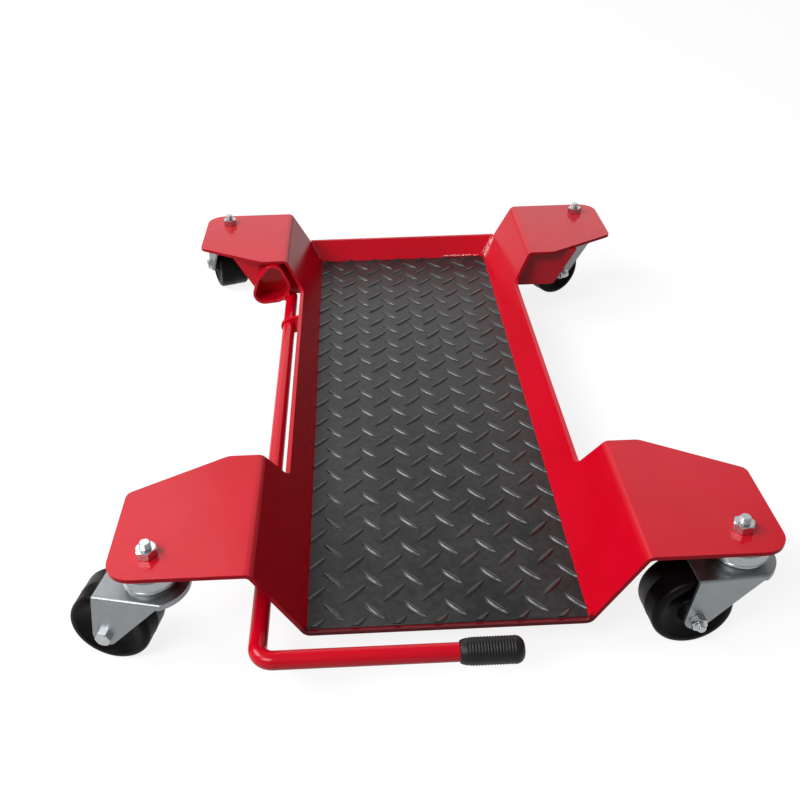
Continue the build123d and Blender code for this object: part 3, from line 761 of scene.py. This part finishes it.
def makeStemNut(corner):
    turn = stemNut["turns"][corner]
    low, high = (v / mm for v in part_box("stem_nut_" + corner))
    rings = hexRings(stemNut["flats"], 0.0, high.z - low.z, stemNut["bore"])
    piece = ringMesh("stemNut" + title(corner), [(rings, True)], zincBolt, stemNut["sharpFrom"])
    swivel = joints["swivel_" + corner]["pos_m"]
    piece.matrix_world = Matrix.Translation((swivel[0], swivel[1], low.z * mm)) @ Matrix.Rotation(turn, 4, "Z")
    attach(piece, "frame")
    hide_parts("stem_nut_" + corner)


# Axle: a hexagon bolt with its head on one leg of the fork, and its nut on the other
axleBolt = {
    "flats": 13.0, "headLow": 28.7, "headHigh": 34.0, "radius": 4.0, "pitch": 1.25, "depth": 0.72, "tip": 0.9,
    "threadStart": 27.5, "end": 40.5, "sunk": 1.0, "around": 40, "sharpFrom": 25,
    "headSides": {"front_left": 1, "front_right": -1, "rear_left": 1, "rear_right": -1},
}
axleNut = {"flats": 13.0, "low": 28.7, "high": 35.5, "bore": 3.7, "across": (0.3, 0.2, 1), "sharpFrom": 25}


def makeAxle(corner):
    b = axleBolt
    roll = joints["roll_" + corner]
    along = Vector(roll["axis"]) * b["headSides"][corner]
    head = hexRings(b["flats"], b["headLow"], b["headHigh"], 0.0, lowChamfer=False)
    shank = lathe([(-b["threadStart"], axisPoint), (-b["threadStart"], b["radius"]), (b["headLow"], b["radius"]),
                   (b["headLow"] + b["sunk"], axisPoint)], b["around"])
    thread = threadRings(b["radius"], b["depth"], b["pitch"], b["threadStart"], b["end"], b["tip"], b["around"])
    thread = [[(x, -y, -z) for x, y, z in ring] for ring in thread]
    sets = [(head, False), (shank, False), (thread, False)]
    piece = ringMesh("axleBolt" + title(corner), sets, zincBolt, b["sharpFrom"])
    piece.matrix_world = axisFrame(roll["pos_m"], along, (0, 0, 1))
    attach(piece, "fork_" + corner)
    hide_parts("axle_bolt_" + corner)
    n = axleNut
    rings = hexRings(n["flats"], n["low"], n["high"], n["bore"])
    nut = ringMesh("axleNut" + title(corner), [(rings, True)], zincBolt, n["sharpFrom"])
    nut.matrix_world = axisFrame(roll["pos_m"], -along, n["across"])
    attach(nut, "fork_" + corner)
    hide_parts("axle_nut_" + corner)


# Race cup: a pressed ring under the wing, rolled in at its lip, with a line where the lip was turned; its line is
# (height, radius) points
raceCup = {
    "line": [
        (68.0, 5.2), (68.0, 21.5), (61.0, 26.0), (52.7, 26.0), (52.0, 25.1), (51.3, 25.9), (49.4, 25.7), (47.0, 24.6),
        (45.2, 23.4), (44.2, 22.5), (44.2, 21.6), (46.5, 22.2), (50.0, 23.2), (60.0, 23.4), (65.4, 19.5), (65.4, 5.2),
    ],
    "rounds": [0, 2.5, 4.0, 0.5, 0.4, 0.5, 2.0, 3.0, 1.0, 0.4, 0.3, 0, 0, 0, 0, 0], "around": 96, "sharpFrom": 40,
}


def makeCup(corner):
    turned = lathe(roundCorners(raceCup["line"], raceCup["rounds"]), raceCup["around"])
    piece = ringMesh("raceCup" + title(corner), [(turned, True)], zincCup, raceCup["sharpFrom"])
    swivel = joints["swivel_" + corner]["pos_m"]
    piece.matrix_world = Matrix.Translation((swivel[0], swivel[1], 0))
    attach(piece, "frame")
    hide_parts("race_cup_" + corner)


for corner in corners:
    makeWheel(corner)
    makeStem(corner)
    makeStemNut(corner)
    makeAxle(corner)
    makeCup(corner)
print("casters: wheels, stems, nuts, axle bolts and cups")

# Weld beads: where the plates meet the tray, laid in short ripples and painted over
weldBeads = {
    "ripple": 2.6, "rippleDepth": 0.1, "rippleLean": 0.35, "wobble": 0.12, "wobbleKept": 0.8, "wobbleShare": 0.25,
    "endShare": 0.25, "station": 0.65, "around": 12, "sharpFrom": 70,
}
trayLines = {"slope": 60.5, "backSlope": 64.6, "deckHalf": 125.0, "sheet": 4.0, "wingUnder": 68.0}


# inner and outer face of the slanted side at a height
def wallInner(z):
    return trayLines["deckHalf"] + z / math.tan(math.radians(trayLines["slope"]))


def wallOuter(z):
    return wallInner(z) + trayLines["sheet"] / math.sin(math.radians(trayLines["slope"]))


# a rippled bead along a straight seam, half sunk in the corner
def beadRings(start, end, radius, seed):
    noise = random.Random(seed)
    start, end = Vector(start), Vector(end)
    along = (end - start).normalized()
    side = along.orthogonal().normalized()
    up = along.cross(side)
    length = (end - start).length
    count = max(6, int(length / weldBeads["station"]))
    drift = 0.0
    rings = []
    for i in range(count + 1):
        d = length * i / count
        drift = weldBeads["wobbleKept"] * drift + noise.uniform(-1, 1) * weldBeads["wobble"]
        taper = min(1.0, weldBeads["endShare"] + min(d, length - d) / radius * (1 - weldBeads["endShare"]))
        wave = 1 - weldBeads["rippleDepth"] * (1 - abs(math.sin(math.pi * d / weldBeads["ripple"])))
        r = radius * taper * wave * (1 + weldBeads["wobbleShare"] * drift)
        ring = []
        for k in range(weldBeads["around"]):
            a = 2 * math.pi * k / weldBeads["around"]
            lean = weldBeads["ripple"] * weldBeads["rippleLean"] * math.cos(a)
            ring.append(start + along * (d + lean * taper) + (side * math.cos(a) + up * math.sin(a)) * r)
        rings.append(ring)
    return rings


def makeWeld(name, seams, body, seed):
    sets = [(beadRings(a, b, radius, seed + i), False) for i, ((a, b), radius) in enumerate(seams)]
    piece = ringMesh(name, sets, weldPaint, weldBeads["sharpFrom"])
    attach(piece, body)


# each gusset is welded on both faces, to the wing and to the side
gussetWeld = {"radius": 2.2, "wingFrom": 10.0, "wingTo": 56.0, "below": 8.0, "above": 3.0}
for number, corner in enumerate(corners):
    low, high = (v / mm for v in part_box("gusset_" + corner))
    side = -1 if "left" in corner else 1
    under = trayLines["wingUnder"]
    wing = [side * (wallOuter(under) + gussetWeld[end]) for end in ("wingFrom", "wingTo")]
    heights = (under - gussetWeld["below"], low.z + gussetWeld["above"])
    seams = []
    for y in (low.y, high.y):
        seams.append(([(x, y, under) for x in wing], gussetWeld["radius"]))
        seams.append(([(side * wallOuter(z), y, z) for z in heights], gussetWeld["radius"]))
    makeWeld("weldGusset" + title(corner), seams, "frame", 10 * number)

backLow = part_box("back_wall")[0] / mm
backDepth = trayLines["sheet"] / math.sin(math.radians(trayLines["backSlope"]))


# inner face of the leaning back wall at a height
def backInner(z):
    return backLow.y + (z - backLow.z) / math.tan(math.radians(trayLines["backSlope"]))


# the back wall is welded to both sides inside and outside, along its whole foot outside and at the right inside
backWeld = {
    "inner": (1, 25), "innerRadius": {-1: 1.8, 1: 2.8}, "outer": (1, 13), "outerRadius": 2.2, "footHalf": 112,
    "lineEnds": (58, 119), "lineHeight": -1, "lineRadius": 1.3, "seed": 50,
}
seams = []
for side, radius in backWeld["innerRadius"].items():
    seams.append(([(side * wallInner(z), backInner(z), z) for z in backWeld["inner"]], radius))
    seams.append(([(side * wallInner(z), backInner(z) + backDepth, z) for z in backWeld["outer"]],
                  backWeld["outerRadius"]))
footEnds = (-backWeld["footHalf"], backWeld["footHalf"])
seams.append(([(x, backLow.y + backDepth, backLow.z) for x in footEnds], backWeld["outerRadius"]))
z = backWeld["lineHeight"]
seams.append(([(x, backInner(z), z) for x in backWeld["lineEnds"]], backWeld["lineRadius"]))
makeWeld("weldBackWall", seams, "frame", backWeld["seed"])

bearingWeld = {"heights": (11, 28), "radius": 1.8, "seed": 60}
low, high = (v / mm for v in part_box("lever_bearing"))
seams = [([(-wallOuter(z), y, z) for z in bearingWeld["heights"]], bearingWeld["radius"]) for y in (low.y, high.y)]
makeWeld("weldBearing", seams, "frame", bearingWeld["seed"])

# the foot's ring is welded to the rod along both sides of the line where they touch
footWeld = {"angle": 41.5, "rodRadius": 8.0, "valley": 4.6, "past": 1, "radius": 2.6, "seed": 70}
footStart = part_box("brake_foot")[0].y / mm - footWeld["past"]
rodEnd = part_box("lever_rod")[1].y / mm + footWeld["past"]
pivot = Vector(joints["brake_lever_turn"]["pos_m"]) / mm
footTurn = math.radians(footWeld["angle"])
reach = Vector((-math.cos(footTurn), 0, math.sin(footTurn)))
touch = Vector((pivot.x, 0, pivot.z)) + reach * footWeld["rodRadius"]
valley = Vector((reach.z, 0, -reach.x)) * footWeld["valley"]
seams = []
for spot in (touch + valley, touch - valley):
    seams.append(([(spot.x, y, spot.z) for y in (footStart, rodEnd)], footWeld["radius"]))
makeWeld("weldFoot", seams, "brake_lever", footWeld["seed"])

# Spatter: small beads thrown round the weld in the right rear corner and along the foot of the back wall there
spatter = {
    "count": 300, "seed": 5, "small": 0.35, "large": 0.9, "low": 1, "high": 25, "spread": 11.0, "scatter": 0.55,
    "nearest": 1.0, "backShare": 0.4, "lineEnd": 118, "lineStep": 2.25, "lineLift": 0.3,
}
# pale and bright metal with a warm tint: painted glints, standing in for the light that the spatter's red coat
# catches
glintSteel = makeZinc("paintedGlintSteel", {
    "dark": "#dcbab6", "light": "#f0d8d5", "cloud": 3 * mm, "line": 1 * mm, "smooth": 0.2, "dull": 0.35})


def makeSpatter():
    noise = random.Random(spatter["seed"])
    lift = spatter["lineLift"]
    shape = bmesh.new()
    for i in range(spatter["count"]):
        z = noise.uniform(spatter["low"], spatter["high"])
        away = abs(noise.gauss(0, spatter["scatter"])) * spatter["spread"] + spatter["nearest"]
        # of six beads one lands on the back wall, two on the line at its foot and three on the side
        if i % 6 == 0:
            spot = Vector((wallInner(z) - away * spatter["backShare"], backInner(z), z))
        elif i % 6 < 3:
            spot = Vector((spatter["lineEnd"] - spatter["lineStep"] * z, backInner(0) - lift, lift))
        else:
            spot = Vector((wallInner(z), backInner(z) - away, z))
        size = noise.uniform(spatter["small"], spatter["large"]) * mm
        place = Matrix.Translation(spot * mm) @ Matrix.Diagonal((size, size, size, 1))
        bmesh.ops.create_icosphere(shape, subdivisions=2, radius=1.0, matrix=place)
    mesh = bpy.data.meshes.new("weldSpatter")
    shape.to_mesh(mesh)
    shape.free()
    mesh.polygons.foreach_set("use_smooth", [True] * len(mesh.polygons))
    # painted glints: the spatter takes the pale metal in place of the red coat
    mesh.materials.append(glintSteel)
    piece = bpy.data.objects.new("weldSpatter", mesh)
    scene.collection.objects.link(piece)
    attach(piece, "frame")


makeSpatter()
print("welds laid")
